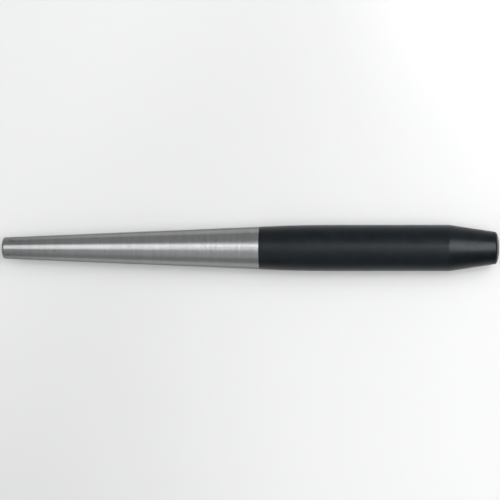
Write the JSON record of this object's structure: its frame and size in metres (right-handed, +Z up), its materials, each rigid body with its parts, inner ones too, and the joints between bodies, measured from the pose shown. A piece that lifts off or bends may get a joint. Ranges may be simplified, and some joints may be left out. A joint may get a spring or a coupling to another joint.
{
  "type": "line-up punch",
  "caption": "Round tapered steel punch with a black-coated shank and conical struck head, driven into bolt holes to bring them into line.",
  "frame": {"origin": "centre of the tip's flat face, on the tool's axis", "axes": "+X along the tool's axis from the tip to the struck head, +Z up with the tool lying on its side"},
  "size_m": [0.2, 0.0186, 0.0186],
  "materials": {
    "ground_steel": "round-ground, satin",
    "black_enamel": "baked enamel, semi-gloss"
  },
  "bodies": {
    "root": {"steel_punch": "ground_steel", "enamel_coat": "black_enamel"}
  },
  "joints": []
}
